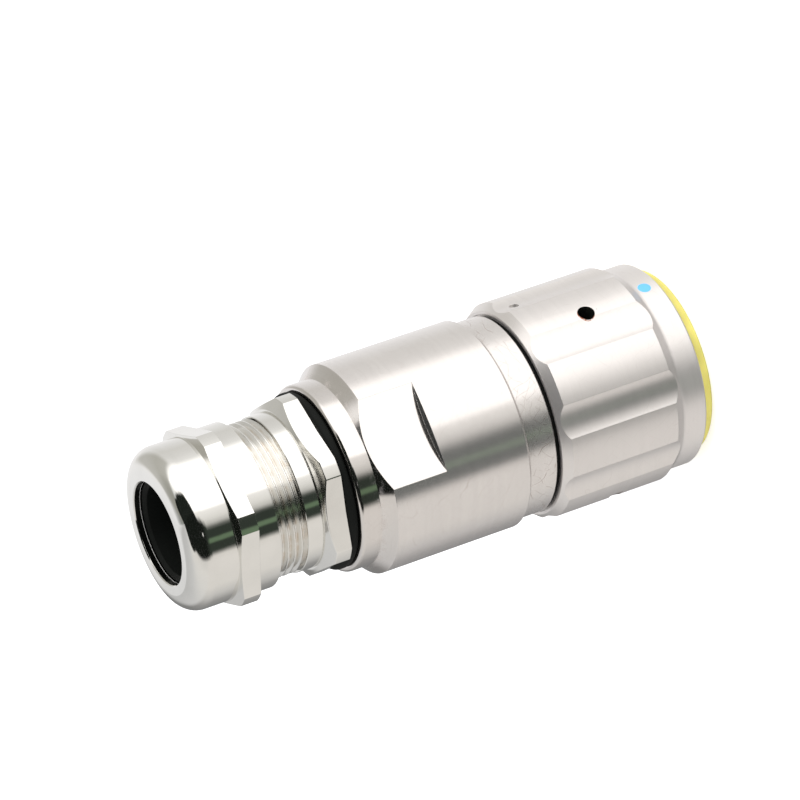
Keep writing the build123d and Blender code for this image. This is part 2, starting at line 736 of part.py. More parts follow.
def front_insulator():
    flange_outer_r = SHELL_BORE_R - FIT_GAP
    lip_front = insulator_front - HOLE_COLLAR
    pocket_front = insulator_split - CONTACT_SHOULDER
    body_r = sleeve_bore_r - FIT_GAP
    insulator = turned(
        (0, insulator_front),
        (body_r, insulator_front),
        (body_r, insert_step),
        (flange_outer_r, insert_step),
        (flange_outer_r, insulator_split),
        (0, insulator_split),
    )
    cuts = []
    for places, shank_r, shoulder_r in (
        (power_places(), POWER_SHANK_R, POWER_SHOULDER_R),
        (signal_places(), SIGNAL_SHANK_R, SIGNAL_SHOULDER_R),
    ):
        hole_r = shank_r + FIT_GAP
        lip = upright(hole_r + HOLE_COLLAR, lip_front, insulator_front)
        hole = upright(hole_r, lip_front, insulator_split)
        pocket = upright(shoulder_r + FIT_GAP, pocket_front, insulator_split)
        for _, _, x, y in places:
            insulator += Pos(x, y, 0) * lip
            cuts += [Pos(x, y, 0) * hole, Pos(x, y, 0) * pocket]
    return insulator - cuts


def rear_insulator():
    insulator = upright(SHELL_BORE_R - FIT_GAP, insulator_split, retainer_front)
    for places, barrel_r in ((power_places(), POWER_BARREL_R), (signal_places(), SIGNAL_BARREL_R)):
        hole = upright(barrel_r + FIT_GAP, insulator_split, retainer_front)
        for _, _, x, y in places:
            insulator -= Pos(x, y, 0) * hole
    return insulator


def insert_retainer():
    """The screwed ring behind the insulators, with two slots for its key."""
    outer = SHELL_BORE_R - FIT_GAP
    ring = tube(SHELL_BORE_R - RETAINER_WALL, outer, retainer_front, retainer_rear)
    slot = Box(2 * outer, RETAINER_SLOT, RETAINER_SLOT_DEPTH)
    return ring - Pos(0, 0, retainer_rear - RETAINER_SLOT_DEPTH / 2) * slot


def pieces():
    """Every separate piece, as a name and its shape."""
    made = {
        "coupling_ring": coupling_ring(),
        "entry_ring": entry_ring(),
        "stop_pin": stop_pin(),
        "wave_spring": wave_spring(),
        "retaining_clip": retaining_clip(),
        "thrust_washer": thrust_washer(),
        "plug_shell": plug_shell(),
        "interface_seal": interface_seal(),
        "dust_seal": dust_seal(),
        "shell_collar": shell_collar(),
        "housing_o_ring": housing_o_ring(),
        "rear_housing": rear_housing(),
        "gland_gasket": gland_gasket(),
        "gland_body": gland_body(),
        "clamp_cage": clamp_cage(),
        "gland_seal": gland_seal(),
        "dome_nut": dome_nut(),
        "front_insulator": front_insulator(),
        "rear_insulator": rear_insulator(),
        "insert_retainer": insert_retainer(),
    }
    for name, tip, x, y in power_places():
        made[name] = Pos(x, y, 0) * contact(
            POWER_PIN_R, POWER_SHANK_R, tip, POWER_SHOULDER_R, POWER_BARREL_R, POWER_WIRE_R,
            POWER_BARREL_LENGTH)
    for name, tip, x, y in signal_places():
        made[name] = Pos(x, y, 0) * contact(
            SIGNAL_PIN_R, SIGNAL_SHANK_R, tip, SIGNAL_SHOULDER_R, SIGNAL_BARREL_R,
            SIGNAL_WIRE_R, SIGNAL_BARREL_LENGTH)
    return made


def main():
    os.makedirs("parts", exist_ok=True)
    for name, shape in pieces().items():
        export_step(shape, f"parts/{name}.step")


main()
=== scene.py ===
"""Dresses a circular bayonet power plug: finishes, the thread of its gland, and a light studio."""

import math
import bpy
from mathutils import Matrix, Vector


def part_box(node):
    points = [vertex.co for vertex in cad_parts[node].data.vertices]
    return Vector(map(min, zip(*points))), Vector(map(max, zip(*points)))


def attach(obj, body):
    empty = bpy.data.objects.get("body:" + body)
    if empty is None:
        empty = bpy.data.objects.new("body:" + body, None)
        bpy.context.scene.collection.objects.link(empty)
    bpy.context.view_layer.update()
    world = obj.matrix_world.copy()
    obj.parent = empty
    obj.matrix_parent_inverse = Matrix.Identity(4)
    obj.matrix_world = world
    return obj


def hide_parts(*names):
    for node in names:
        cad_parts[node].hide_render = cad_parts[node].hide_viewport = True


bl_info = {
    "name": "Circular Power Plug",
    "version": (1, 0, 0),
    "blender": (4, 5, 0),
    "location": "View3D > Sidebar > Power Plug",
    "description": "Finishes, gland thread and studio for a circular bayonet power plug",
    "category": "Object",
}

import bpy
from bpy.props import FloatProperty, FloatVectorProperty, PointerProperty
from mathutils import Matrix, Vector

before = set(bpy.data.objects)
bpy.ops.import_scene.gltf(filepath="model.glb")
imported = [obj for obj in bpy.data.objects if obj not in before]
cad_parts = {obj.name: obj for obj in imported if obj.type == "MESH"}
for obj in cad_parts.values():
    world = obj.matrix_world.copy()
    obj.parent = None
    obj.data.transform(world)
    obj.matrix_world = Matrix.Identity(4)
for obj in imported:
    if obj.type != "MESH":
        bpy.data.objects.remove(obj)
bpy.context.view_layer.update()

MM = 0.001

# Modelling. An edge stays sharp above the sharp angle, and on the hexagon above the facet
# angle, so that each facet is shaded flat.
TURN_STEPS = 180
SHARP_ANGLE = math.radians(15)
FACET_ANGLE = math.radians(3)
BEVEL_ANGLE = math.radians(20)
THREAD_FLANK = math.radians(30)
MERGE_DISTANCE = 0.001 * MM
THREAD_SUNK = 0.1 * MM

# Grains of the patterns in the finishes
MARK_GRAIN = 0.12 * MM
STREAK_GRAIN = 1.1 * MM
CLOUD_GRAIN = 9 * MM
WAVE_GRAIN = 3.5 * MM
SMEAR_GRAIN = 6 * MM
POLISH_GRAIN = 0.2 * MM
SKIN_GRAIN = 0.25 * MM

# Wear and dirt. A hair lies square to its slope, fades out at its reach from its middle and
# bends by some of its spacings. The rust is a mask like the hole, turned and lifted a little.
HAIR_SLOPES = ((0.5, -0.45, 0.74), (-0.62, 0.3, 0.72), (0.75, 0.6, 0.28))
HAIR_SPACING = 1.7 * MM
HAIR_REACH = 0.038 * MM
HAIR_LENGTH = 1.7 * MM
HAIR_BEND_GRAIN = 7 * MM
HAIR_BEND = 3
PIT_CELL = 5 * MM
PIT_RADIUS = 0.13 * MM
FILM_GRAIN = 1.6 * MM
STAIN_GRAIN = 2 * MM
MASK_BLUR = 0.04 * MM
RUST_GRAIN = 0.6 * MM
RUST_TURN = math.radians(0.5)
RUST_LIFT = 0.15 * MM
RUST_BLUR = 0.1 * MM

# How far the patterns change the colour, the roughness and the relief of a surface
STREAK_SHADE, STREAK_ROUGHNESS, STREAK_HEIGHT = 0.96, 0.06, 2.0
CLOUD_SHADE, CLOUD_ROUGHNESS = 0.95, 0.05
PIT_SHADE, PIT_TINT, PIT_HEIGHT = 0.3, 0.6, -6.0
HAIR_TINT, HAIR_ROUGHNESS = 0.7, 0.1
SMEAR_SHADE, SMEAR_ROUGHNESS = 0.96, 0.05
STAIN_TINT, THREAD_ROUGHNESS = 0.4, 0.05
SKIN_SHADE, SKIN_ROUGHNESS = 0.85, 0.1
LINE_HEIGHT = 0.02
POLISH_SMOOTHS, POLISH_FLATTENS = 0.55, 0.6
RIM_MATT = 0.13

# Edges that the shading rounds off, and relief that it adds
SATIN_EDGE = 0.12 * MM
POLISHED_EDGE = 0.1 * MM
MOULDED_EDGE = 0.12 * MM
WAVE_DEPTH = 0.012 * MM
SKIN_DEPTH = 0.01 * MM

# Studio
FLOOR_WHITE = (0.75, 0.75, 0.75)
LAMP_PLACE = Vector((0.7, -0.55, 0.75))
LAMP_AIM = Vector((0, 0, 0.05))
NEAREST_SEEN = 0.01

# The studio as glossy surfaces see it. A heading is a share of a turn, from +Y by way of +X,
# and a rise is 0 straight down and 1 straight up.
EVEN_WHITE = (0.92, 0.92, 0.94)
KEY_LIGHT = (1.0, 0.985, 0.965)
KEY_GLOW = 0.6
CEILING = (0.30, 0.31, 0.30)
TABLE = (0.44, 0.43, 0.42)
SIDE_WALL = (0.36, 0.35, 0.30)
WALLS_BY_HEADING = (
    (0.00, (0.92, 0.92, 0.93)),
    (0.055, (0.96, 0.95, 0.95)),
    (0.11, (0.86, 0.855, 0.85)),
    (0.165, (0.74, 0.73, 0.705)),
    (0.215, (0.80, 0.79, 0.77)),
    (0.245, (0.90, 0.89, 0.87)),
    (0.265, KEY_LIGHT),
    (0.462, KEY_LIGHT),
    (0.478, (0.98, 0.96, 0.93)),
    (0.50, (0.86, 0.845, 0.81)),
    (0.53, (0.60, 0.59, 0.56)),
    (0.635, (0.78, 0.75, 0.71)),
    (0.67, (0.83, 0.80, 0.765)),
    (0.78, (0.80, 0.775, 0.74)),
    (0.835, (0.62, 0.61, 0.595)),
    (0.89, (0.34, 0.335, 0.33)),
    (0.945, (0.24, 0.24, 0.238)),
    (0.985, (0.24, 0.24, 0.238)),
    (1.00, (0.92, 0.92, 0.93)),
)
FAR_WALLS_BY_HEADING = (
    (0.62, (0.72, 0.70, 0.67)),
    (0.72, (0.82, 0.80, 0.77)),
    (0.80, (0.78, 0.77, 0.75)),
    (0.90, (0.65, 0.65, 0.65)),
    (0.99, (0.58, 0.58, 0.58)),
    (1.00, (0.92, 0.92, 0.93)),
)
DARK_START_BY_RISE = (
    (0.30, 0.522), (0.50, 0.485), (0.63, 0.478), (0.75, 0.365), (0.88, 0.325), (0.96, 0.27),
    (0.99, 0.11),
)
DARK_END_BY_RISE = ((0.31, 0.637), (0.93, 0.667), (0.975, 0.75), (1.00, 0.80))
DARK_LOW = (0.036, 0.045, 0.036)
DARK_HIGH = (0.008, 0.01, 0.008)
GREEN_DOOR = (0.14, 0.205, 0.125)
GREEN_HEADING = 0.586
WINDOWS = (((0.355, -0.92, 0.165), 0.06), ((-0.329, -0.933, 0.148), 0.04))

ring_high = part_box("coupling_ring")[1]
housing_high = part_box("rear_housing")[1]
gasket_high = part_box("gland_gasket")[1]
gland_low, gland_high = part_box("gland_body")
nut_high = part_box("dome_nut")[1]
pin_low, pin_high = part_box("stop_pin")


def size(label, description, millimetres):
    """A length property in metres, with its default given in millimetres."""
    return FloatProperty(
        name=label, description=description, default=millimetres * MM,
        unit="LENGTH", subtype="DISTANCE", precision=5,
    )


def share(label, description, default):
    return FloatProperty(name=label, description=description, default=default, min=0, max=1)


def colour(label, description, default):
    return FloatVectorProperty(
        name=label, description=description, default=default, size=3, min=0, max=1, subtype="COLOR"
    )


def degrees(label, description, default):
    return FloatProperty(
        name=label, description=description, default=math.radians(default),
        unit="ROTATION", subtype="ANGLE",
    )


class GlandSizes(bpy.types.PropertyGroup):
    """Sizes of the gland body, which is modelled here with its thread."""

    bore_radius: size("Bore", "Radius of the hole for the cable", 11.5)
    seat_radius: size("Cage seat", "Radius of the seat for the clamp cage", 14.3)
    seat_depth: size("Seat depth", "Depth of the clamp cage's seat", 10.5)
    thread_radius: size("Thread", "Outer radius of both threads", 16.0)
    thread_depth: size("Thread depth", "From the thread's crest to its root", 0.92)
    pitch: size("Pitch", "Rise of the thread in one turn", 1.5)
    crest: size("Crest", "Width of the thread's flat crest", 0.22)
    relief: size("Relief", "Width of the plain groove before the thread", 0.35)
    hex_across: size("Hexagon", "Across the hexagon's flats", 35.0)
    hex_corner_radius: size("Corners", "Radius of the bar that the hexagon is milled from", 19.25)
    hex_length: size("Hexagon length", "Along the hexagon's corners", 3.35)
    hex_angle: degrees("Hexagon turn", "Angle of one corner from the X axis", -26.3)
    cone_radius: size("Cone end", "Radius where the hexagon's cone ends", 16.7)
    cone_angle: degrees("Cone", "Slope of the cone behind the hexagon", 30.0)
    band_radius: size("Band", "Radius of the plain band behind the hexagon", 16.3)
    band_length: size("Band length", "Length of the plain band", 3.35)
    chamfer: size("Thread chamfer", "At the ends of both threads", 0.8)
    edge: size("Edge", "Width of the small bevel on the hexagon", 0.12)


class Finishes(bpy.types.PropertyGroup):
    """Colours and gloss of the surfaces."""

    nickel: colour("Polished nickel", "Colour of the gland's plating", (0.83, 0.82, 0.79))
    satin: colour("Satin nickel", "Colour of the housing's plating", (0.77, 0.735, 0.71))
    ring_satin: colour("Ring", "Colour of the coupling ring's plating", (0.81, 0.775, 0.75))
    rim: colour("Rim", "Colour that the ring's matt rim scatters", (0.84, 0.80, 0.77))
    yellow: colour("Lining", "Colour of the coupling ring's lining", (0.98, 0.88, 0.23))
    dot: colour("Dot", "Colour of the painted dot", (0.16, 0.55, 1.0))
    bronze: colour("Bronze", "Colour of the bare plug shell", (0.60, 0.38, 0.18))
    stain: colour("Stain", "Colour of the film left in the thread", (0.62, 0.50, 0.38))
    # Painted shade: this near black is painted into the sight holes and round the stop pin, in
    # place of the shade that falls in them.
    painted_hole_shade: colour("Grease", "Colour of the grease in the sight hole", (0.006, 0.008, 0.006))
    rust: colour("Rust", "Colour of the old grease low in the sight hole", (0.35, 0.09, 0.02))
    hair: colour("Hairs", "Colour of the hair scratches", (0.30, 0.21, 0.16))
    film: colour("Film", "Colour of the film behind the housing's shoulder", (0.34, 0.25, 0.19))
    # Painted shade: the end walls of the wrench flats are painted this near black, standing in for
    # the dark reflection they show.
    cut: colour("Cut", "Colour of the end walls that the cutter left", (0.014, 0.016, 0.014))
    pin: colour("Pin", "Colour of the stop pin's bright end", (0.88, 0.87, 0.85))
    silver: colour("Silver", "Colour of the power contacts", (0.86, 0.85, 0.82))
    gold: colour("Gold", "Colour of the signal contacts", (0.92, 0.68, 0.30))
    steel: colour("Steel", "Colour of clip, spring, washer and pin", (0.56, 0.55, 0.53))
    rubber: colour("Rubber", "Colour of gaskets and seals", (0.006, 0.007, 0.006))
    plastic: colour("Plastic", "Colour of cage and insulators", (0.02, 0.02, 0.022))
    dot_radius: size("Dot radius", "Radius of the painted dot", 1.375)
    dot_height: size("Dot height", "Height of the painted dot above the front face", 5.85)
    dot_angle: degrees("Dot angle", "Place of the painted dot round the ring", -44.7)
    rim_step: size("Rim step", "From the ring's lands down to its rim", 1.4)
    rim_length: size("Rim", "Height of the rear end of the ring's rim", 8.0)
    corner_height: size("Shoulder", "Height of the corner behind the housing's shoulder", 76.3)
    flat_low: size("Flats", "Height just below the wrench flats", 62.0)
    flat_angle: degrees("Flat angle", "Place of one wrench flat round the housing", -81.7)
    flat_reach: size("Flat reach", "From the axis to the inner edge of the end walls", 19.8)
    # Painted highlight: this light colour is painted as a thin line at the inner end of the nut's
    # mouth, standing in for a glint on its edge.
    painted_edge_highlight: colour("Bare edge", "Colour of the worn edge in the nut's mouth", (0.7, 0.69, 0.66))
    mouth_radius: size("Mouth", "Radius of the dome nut's mouth", 10.7)
    mouth_lip: size("Lip", "Depth of the dome nut's mouth", 1.45)
    sight_angle: degrees("Sight hole", "Place of the first sight hole round the ring", -51.5)
    sight_height: size("Sight hole height", "Height of the sight holes", 21.2)
    sight_radius: size("Sight hole radius", "Radius of the sight holes", 1.75)


class Studio(bpy.types.PropertyGroup):
    """Camera and light."""

    target: FloatVectorProperty(
        name="Target", description="Point on which the camera turns", size=3,
        default=(9.66 * MM, 0, 58.15 * MM), unit="LENGTH",
    )
    distance: size("Distance", "From the camera to its target", 888.8)
    elevation: degrees("Elevation", "Of the camera above the floor", 22.06)
    roll: degrees("Roll", "Turn of the camera about its own axis", -108.69)
    focal_length: FloatProperty(
        name="Focal length", description="Of the camera's lens, in millimetres", default=198.6)
    floor_size: size("Floor", "Side of the square floor", 5000)
    floor_glow: share("Floor glow", "Light that the floor adds for the camera", 0.5)
    lamp_power: FloatProperty(
        name="Lamp", description="Power of the soft lamp, in watts", default=6.0, unit="POWER")
    lamp_size: size("Lamp size", "Side of the square lamp", 600)
    world_strength: FloatProperty(
        name="World", description="Strength of the even light all round", default=1.2)


class Wire:
    """An output socket. Arithmetic on it adds Math nodes to its tree."""

    def __init__(self, tree, socket):
        self.tree = tree
        self.socket = socket

    def math(self, operation, *others):
        node = self.tree.nodes.new("ShaderNodeMath")
        node.operation = operation
        for socket, value in zip(node.inputs, (self, *others)):
            put(self.tree, socket, value)
        return Wire(self.tree, node.outputs[0])

    def swapped(self, operation, other):
        node = self.tree.nodes.new("ShaderNodeMath")
        node.operation = operation
        put(self.tree, node.inputs[0], other)
        put(self.tree, node.inputs[1], self)
        return Wire(self.tree, node.outputs[0])

    def __add__(self, other):
        return self.math("ADD", other)

    def __sub__(self, other):
        return self.math("SUBTRACT", other)

    def __mul__(self, other):
        return self.math("MULTIPLY", other)

    def __truediv__(self, other):
        return self.math("DIVIDE", other)

    def __pow__(self, other):
        return self.math("POWER", other)

    __radd__ = __add__
    __rmul__ = __mul__

    def __rsub__(self, other):
        return self.swapped("SUBTRACT", other)

    def __abs__(self):
        return self.math("ABSOLUTE")

    def between(self, low, high):
        """0 at low, 1 at high, level beyond them and smooth between. Low may be above high."""
        falls = low > high
        node = self.tree.nodes.new("ShaderNodeMapRange")
        node.interpolation_type = "SMOOTHSTEP"
        node.clamp = True
        put(self.tree, node.inputs["Value"], self)
        put(self.tree, node.inputs["From Min"], min(low, high))
        put(self.tree, node.inputs["From Max"], max(low, high))
        result = Wire(self.tree, node.outputs["Result"])
        return 1 - result if falls else result


def put(tree, socket, value):
    """Links a wire to a socket, or sets the socket's value."""
    if isinstance(value, Wire):
        tree.links.new(value.socket, socket)
    elif isinstance(value, (int, float)) and socket.type == "VECTOR":
        socket.default_value = (value, value, value)
    elif socket.type == "RGBA" and len(value) == 3:
        socket.default_value = (*value, 1)
    else:
        socket.default_value = value


class Recipe:
    """The node tree of one material or world."""

    def __init__(self, tree):
        self.tree = tree
        tree.nodes.clear()

    def add(self, kind, settings=None, inputs=None, output=0):
        """Adds a node with its settings, then its inputs by name or number. Returns an output."""
        node = self.tree.nodes.new("ShaderNode" + kind)
        for name, value in (settings or {}).items():
            setattr(node, name, value)
        for name, value in (inputs or {}).items():
            put(self.tree, node.inputs[name], value)
        return Wire(self.tree, node.outputs[output]) if node.outputs else node

    def ramp(self, factor, stops):
        """A colour ramp through stops of (position, colour), where a number stands for a grey."""
        node = self.tree.nodes.new("ShaderNodeValToRGB")
        ramp = node.color_ramp
        while len(ramp.elements) < len(stops):
            ramp.elements.new(1)
        for element, (position, shade) in zip(ramp.elements, stops):
            element.position = position
            element.color = (shade, shade, shade, 1) if isinstance(shade, float) else (*shade, 1)
        put(self.tree, node.inputs[0], factor)
        return Wire(self.tree, node.outputs[0])

    def blend(self, factor, first, second):
        """A colour between two others."""
        node = self.tree.nodes.new("ShaderNodeMix")
        node.data_type = "RGBA"
        colours = [s for s in node.inputs if s.type == "RGBA"]
        put(self.tree, node.inputs[0], factor)
        put(self.tree, colours[0], first)
        put(self.tree, colours[1], second)
        return Wire(self.tree, next(s for s in node.outputs if s.type == "RGBA"))

    def place(self):
        """The point on the surface, in metres, as a vector wire."""
        return self.add("TexCoord", output="Object")

    def split(self, vector):
        node = self.tree.nodes.new("ShaderNodeSeparateXYZ")
        put(self.tree, node.inputs[0], vector)
        return [Wire(self.tree, s) for s in node.outputs]

    def scaled(self, vector, x, y, z):
        inputs = {0: vector, 1: (x, y, z)}
        return self.add("VectorMath", {"operation": "MULTIPLY"}, inputs)

    def dot(self, vector, direction):
        inputs = {0: vector, 1: direction}
        return self.add("VectorMath", {"operation": "DOT_PRODUCT"}, inputs, output="Value")

    def noise(self, vector, grain, detail=2.0, roughness=0.5):
        """Noise from 0 to 1 whose features are about grain metres wide."""
        inputs = {"Vector": vector, "Scale": 1 / grain, "Detail": detail, "Roughness": roughness}
        return self.add("TexNoise", None, inputs)

    def bump(self, height, depth, edge):
        """The normal of a surface with a relief, whose sharp edges are rounded a little."""
        rounded = self.add("Bevel", {"samples": 6}, {"Radius": edge})
        inputs = {"Strength": 1.0, "Distance": depth, "Height": height, "Normal": rounded}
        return self.add("Bump", None, inputs)

    def to_output(self, kind, shader):
        """Links a shader to the output of its material or world."""
        output = self.tree.nodes.new("ShaderNodeOutput" + kind)
        self.tree.links.new(shader.socket, output.inputs["Surface"])

    def surface(self, inputs):
        self.to_output("Material", self.add("BsdfPrincipled", None, inputs))


def new_material(name):
    material = bpy.data.materials.new(name)
    material.use_nodes = True
    return material, Recipe(material.node_tree)


def shaded(base, share):
    """A colour at a share of its brightness."""
    return [value * share for value in base]


def radius_of(recipe, vector):
    x, y, _ = recipe.split(vector)
    return (x * x + y * y) ** 0.5


def turning_marks(recipe, vector, grain):
    """Fine rings round the axis, as a lathe leaves them, that change slowly along each ring."""
    stretched = recipe.scaled(vector, 0.02, 0.02, 1.0)
    return recipe.noise(stretched, grain, detail=3.0, roughness=0.6)


def hair_scratches(recipe, place):
    """Long thin lines in three directions, bent a little and broken up: 1 on a line, else 0."""
    hairs = []
    for slope in HAIR_SLOPES:
        bend = recipe.noise(place, HAIR_BEND_GRAIN, detail=1.0) * HAIR_BEND
        lane = (recipe.dot(place, slope) / HAIR_SPACING + bend).math("FRACT")
        pieces = recipe.noise(recipe.scaled(place, *slope), HAIR_LENGTH, detail=1.0)
        reach = HAIR_REACH / HAIR_SPACING
        hairs.append(abs(lane - 0.5).between(reach, 0.3 * reach) * pieces.between(0.45, 0.55))
    first, second, third = hairs
    return first.math("MAXIMUM", second).math("MAXIMUM", third)


def pits(recipe, vector):
    """A small round pit in about a quarter of the cells of a random pattern."""
    inputs = {"Vector": vector, "Scale": 1 / PIT_CELL}
    centre = recipe.add("TexVoronoi", {"feature": "F1"}, inputs, output="Distance")
    chance = recipe.add("TexVoronoi", {"feature": "F1"}, inputs, output="Color")
    kept = recipe.split(chance)[0].between(0.72, 0.74)
    return centre.between(PIT_RADIUS / PIT_CELL, PIT_RADIUS * 0.5 / PIT_CELL) * kept


def lay_coats(recipe, place, coats, tint, gloss, metallic):
    """Covers a metal with coats of (mask, colour, dullness), the last one on top."""
    for mask, shade, dullness in coats(recipe, place) if coats else ():
        tint = recipe.blend(mask, tint, shade)
        gloss = gloss + mask * dullness
        metallic = (1 - mask) * metallic
    return tint, gloss, metallic


def satin_metal(name, base, roughness, spread, shine=0.86, mark_depth=0.006 * MM, scratch=0.3,
                coats=None, polish=None):
    """Turned metal with a satin plating. Its reflections spread along the axis, and what it
    lacks in shine it scatters. Coats lie on it, and it is bright where polish is 1."""
    material, recipe = new_material(name)
    place = recipe.place()
    marks = turning_marks(recipe, place, MARK_GRAIN)
    streaks = turning_marks(recipe, place, STREAK_GRAIN)
    cloud = recipe.noise(place, CLOUD_GRAIN, detail=3.0)
    hairs = hair_scratches(recipe, place) * scratch
    specks = pits(recipe, place)
    tint = recipe.blend(streaks.between(0.25, 0.75), shaded(base, STREAK_SHADE), base)
    tint = recipe.blend(cloud.between(0.3, 0.75) * 0.5, tint, shaded(base, CLOUD_SHADE))
    tint = recipe.blend(hairs * HAIR_TINT, tint, FINISH.hair)
    tint = recipe.blend(specks * PIT_TINT, tint, shaded(base, PIT_SHADE))
    gloss = roughness + (streaks - 0.5) * STREAK_ROUGHNESS + (cloud - 0.5) * CLOUD_ROUGHNESS
    gloss = gloss + hairs * HAIR_ROUGHNESS
    metallic = shine
    height = marks + streaks * STREAK_HEIGHT + specks * PIT_HEIGHT
    if polish:
        bright = polish(recipe, place)
        gloss = gloss * (1 - bright * POLISH_SMOOTHS)
        metallic = shine + bright * (1 - shine)
        height = height * (1 - bright * POLISH_FLATTENS)
    tint, gloss, metallic = lay_coats(recipe, place, coats, tint, gloss, metallic)
    recipe.surface({
        "Base Color": tint, "Metallic": metallic, "Roughness": gloss,
        "Normal": recipe.bump(height, mark_depth, SATIN_EDGE),
        "Anisotropic": spread, "Anisotropic Rotation": 0.25,
    })
    return material


def spot(recipe, place, centre, radius, blur):
    """1 inside a ball round a point and 0 outside it."""
    inputs = {0: place, 1: centre}
    reach = recipe.add("VectorMath", {"operation": "DISTANCE"}, inputs, output="Value")
    return reach.between(radius + blur, radius - blur)


def bore(recipe, place, angle, height, radius, blur=MASK_BLUR):
    """1 within a radius of the axis of a hole that points straight out of the plug."""
    x, y, z = recipe.split(place)
    outward = x * math.cos(angle) + y * math.sin(angle)
    across = y * math.cos(angle) - x * math.sin(angle)
    away = (across * across + (z - height) ** 2) ** 0.5
    return away.between(radius + blur, radius) * outward.between(0, MM)


def ring_coats_and_painted_shade(recipe, place):
    """The ring's matt rim with its painted dot, and painted shade: near black painted in the first
    sight hole and round the stop pin, where shade falls."""
    height = recipe.split(place)[2]
    rim_end = FINISH.rim_length
    matt = height.between(rim_end + 0.3 * MM, rim_end - 0.1 * MM) * RIM_MATT
    rim = ring_high.y - FINISH.rim_step
    centre = (rim * math.cos(FINISH.dot_angle), rim * math.sin(FINISH.dot_angle), FINISH.dot_height)
    dot = spot(recipe, place, centre, FINISH.dot_radius, MASK_BLUR)
    hole = bore(recipe, place, FINISH.sight_angle, FINISH.sight_height, FINISH.sight_radius)
    pin = (pin_low + pin_high) / 2
    seat = bore(recipe, place, math.atan2(pin.y, pin.x), pin.z, pin_high.z - pin.z)
    # Painted shade: the sight hole and the stop pin's seat are painted near black where shade
    # falls.
    painted_hole_shade = hole.math("MAXIMUM", seat)
    rust = bore(recipe, place, FINISH.sight_angle - RUST_TURN, FINISH.sight_height + RUST_LIFT,
                FINISH.sight_radius, RUST_BLUR)
    rust = rust * recipe.noise(place, RUST_GRAIN, detail=3.0).between(0.38, 0.5)
    return ((matt, FINISH.rim, 0.2), (rust, FINISH.rust, 0.2), (painted_hole_shade, FINISH.painted_hole_shade, 0.1),
            (dot, FINISH.dot, 0.25))


def milled_flats(recipe, place):
    """1 on the two wrench flats and their end walls, and 0 on the housing's cylinder."""
    height = recipe.split(place)[2]
    outside = housing_high.y
    sunk = radius_of(recipe, place).between(outside - 0.02 * MM, outside - 0.08 * MM)
    return sunk * height.between(FINISH.flat_low, FINISH.flat_low + 0.2 * MM)


def housing_film_and_painted_shade(recipe, place):
    """A brownish film behind the housing's shoulder, and painted shade: the end walls of its flats
    painted near black and dull, in place of their dark reflection.
    """
    x, y, height = recipe.split(place)
    corner = abs(height - FINISH.corner_height).between(1.3 * MM, 0.1 * MM)
    film = corner * recipe.noise(place, FILM_GRAIN, detail=3.0).between(0.48, 0.75)
    # Painted shade on the end walls of the flats, near black with a faint grain.
    reach = abs(x * math.cos(FINISH.flat_angle) + y * math.sin(FINISH.flat_angle))
    painted_light_wall = reach.between(FINISH.flat_reach, FINISH.flat_reach + 0.15 * MM)
    painted_light_wall = painted_light_wall * height.between(FINISH.flat_low + 1.6 * MM, FINISH.flat_low + 1.5 * MM)
    painted_light_wall = painted_light_wall * milled_flats(recipe, place)
    grain = recipe.noise(place, 0.5 * MM).between(0.3, 0.7)
    return (film * 0.3, FINISH.film, 0.1), (painted_light_wall * (0.99 - grain * 0.04), FINISH.cut, 0.7)


def nut_painted_highlight(recipe, place):
    """A painted highlight: a thin light line painted at the inner end of the nut's mouth, in place
    of a glint on its edge.
    """
    height = recipe.split(place)[2]
    low = nut_high.z - FINISH.mouth_lip
    mouth = FINISH.mouth_radius
    painted_light_wall = radius_of(recipe, place).between(mouth + 0.12 * MM, mouth + 0.06 * MM)
    # Painted highlight in a thin band at the inner end of the mouth.
    edge = painted_light_wall * height.between(low + 0.13 * MM, low + 0.08 * MM)
    edge = edge * height.between(low - 0.1 * MM, low)
    return ((edge * 0.7, FINISH.painted_edge_highlight, 0.3),)


def polished_metal(name, base, roughness, thread_radius=None, coats=None):
    """Mirror plating with faint waves, smears and polishing lines. A thread of the given radius
    has a film between its ridges and is duller on them."""
    material, recipe = new_material(name)
    place = recipe.place()
    waves = recipe.noise(place, WAVE_GRAIN, detail=1.5)
    smears = recipe.noise(place, SMEAR_GRAIN, detail=4.0)
    lines = turning_marks(recipe, place, POLISH_GRAIN)
    tint = recipe.blend(smears.between(0.35, 0.75), base, shaded(base, SMEAR_SHADE))
    gloss = roughness + (smears - 0.5) * SMEAR_ROUGHNESS
    if thread_radius:
        radius = radius_of(recipe, place)
        depth = radius.between(thread_radius - 0.35 * MM, thread_radius - 0.9 * MM)
        film = depth * recipe.noise(place, STAIN_GRAIN).between(0.35, 0.7)
        ridges = radius.between(thread_radius + 0.05 * MM, thread_radius)
        tint = recipe.blend(film * STAIN_TINT, tint, FINISH.stain)
        gloss = gloss + ridges * THREAD_ROUGHNESS
    tint, gloss, metallic = lay_coats(recipe, place, coats, tint, gloss, 1.0)
    recipe.surface({
        "Base Color": tint, "Metallic": metallic, "Roughness": gloss,
        "Normal": recipe.bump(waves + lines * LINE_HEIGHT, WAVE_DEPTH, POLISHED_EDGE),
    })
    return material


